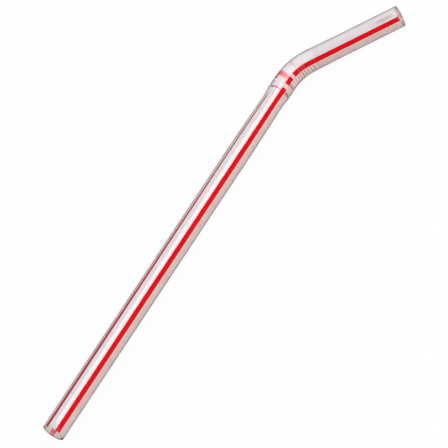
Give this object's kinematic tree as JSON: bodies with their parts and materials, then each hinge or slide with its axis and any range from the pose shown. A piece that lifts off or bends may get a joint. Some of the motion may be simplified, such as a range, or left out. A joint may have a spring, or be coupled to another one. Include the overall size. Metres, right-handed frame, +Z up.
{
  "type": "flexible drinking straw",
  "caption": "Clear plastic drinking straw with red lengthwise stripes, bent at a short pleated section between a long leg and a short mouth leg.",
  "frame": {"origin": "on the table plane, under the middle of the straw's own bounding box", "axes": "+Z up, +X along the long leg from its lower mouth to the pleats, and the mouth leg turns towards -Y"},
  "size_m": [0.1888, 0.0354, 0.0083],
  "materials": {
    "clear_plastic": "clear, slightly milky gloss, with red stripes along the length"
  },
  "bodies": {
    "root": {"straw": "clear_plastic"}
  },
  "joints": []
}
